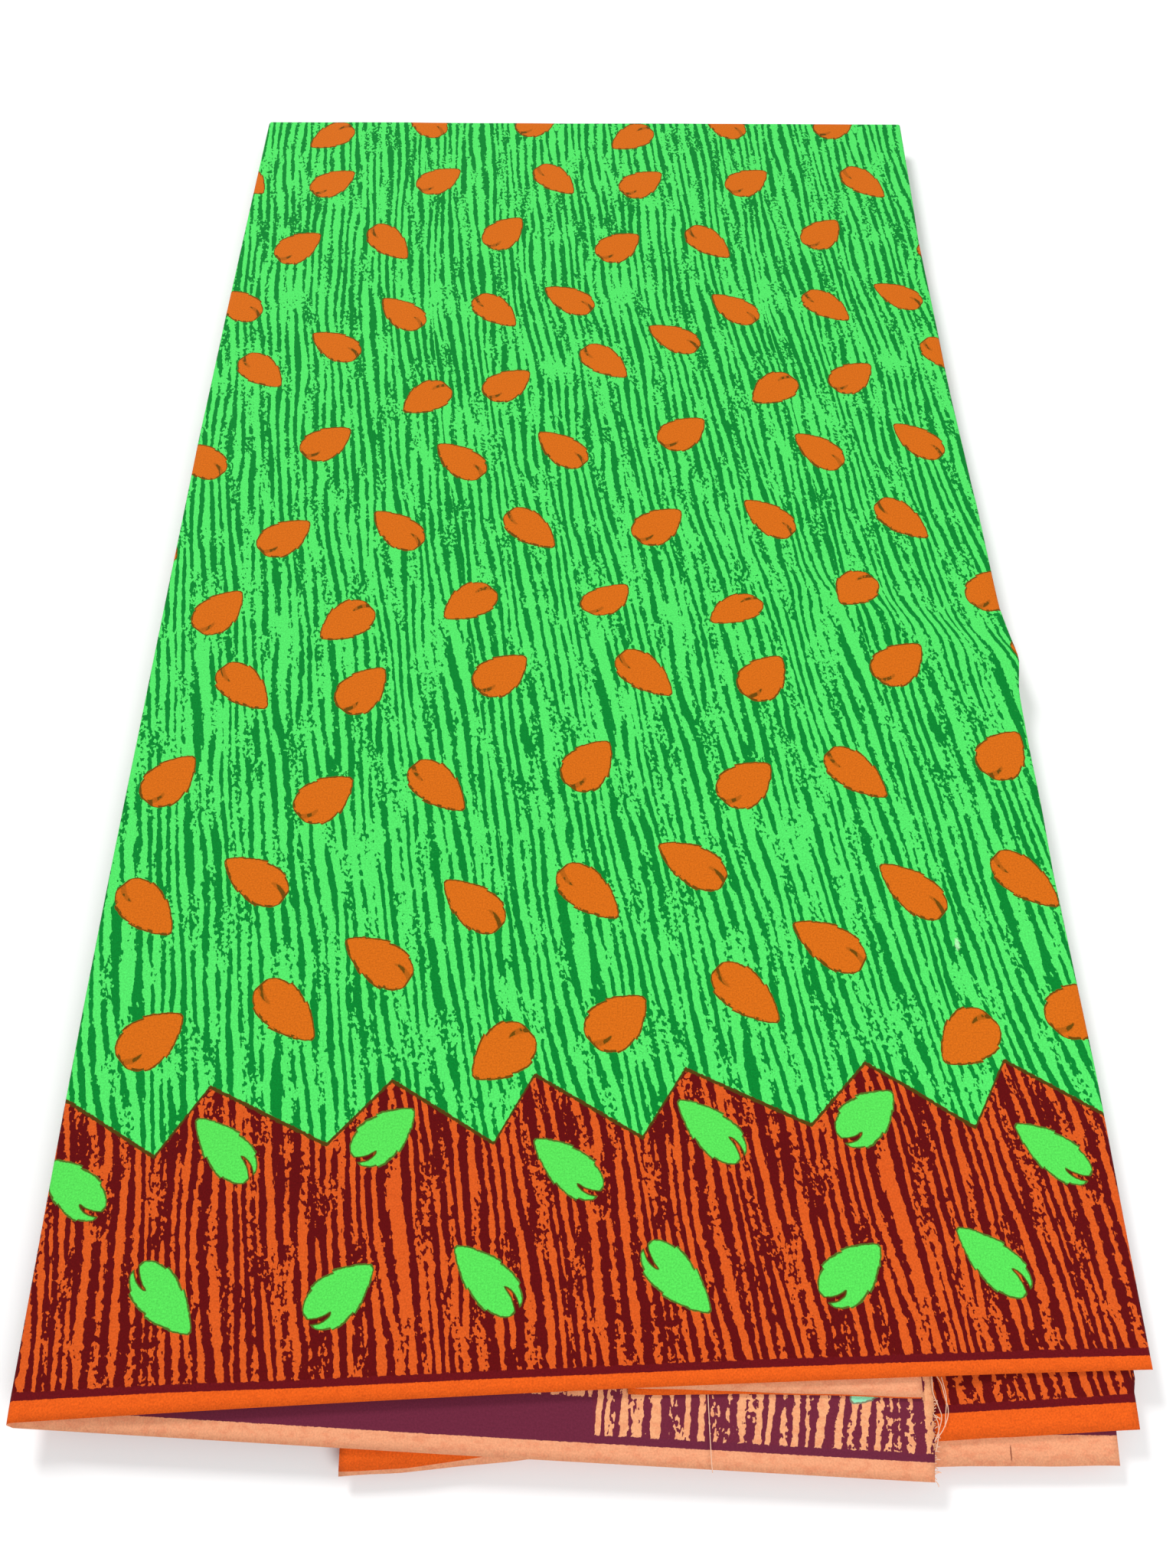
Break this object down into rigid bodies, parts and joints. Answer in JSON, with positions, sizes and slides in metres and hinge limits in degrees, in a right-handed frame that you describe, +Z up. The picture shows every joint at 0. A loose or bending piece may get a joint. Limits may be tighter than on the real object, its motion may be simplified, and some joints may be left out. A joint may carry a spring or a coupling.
{
  "type": "wax print fabric, folded length",
  "caption": "Length of printed cotton cloth folded into a flat rectangular pile, with loose flaps at its open front edge.",
  "frame": {"origin": "middle of the folded pile's box, on the surface that it lies on", "axes": "+Y runs from the open front edge to the back fold, +X to the right fold, +Z up from the table"},
  "size_m": [0.347, 0.628, 0.0152],
  "materials": {
    "printed_side": "matt printed cotton, two-green stripes with orange leaves, orange and maroon border",
    "wrong_side": "matt back of the printed cotton, paler and duller than the face"
  },
  "bodies": {
    "root": {"hidden_layers": "printed_side", "top_panel": "printed_side", "tucked_strip": "wrong_side", "end_flap": "wrong_side", "right_upper_ply": "printed_side", "right_lower_ply": "wrong_side", "left_upper_ply": "printed_side", "left_lower_ply": "wrong_side"}
  },
  "joints": []
}
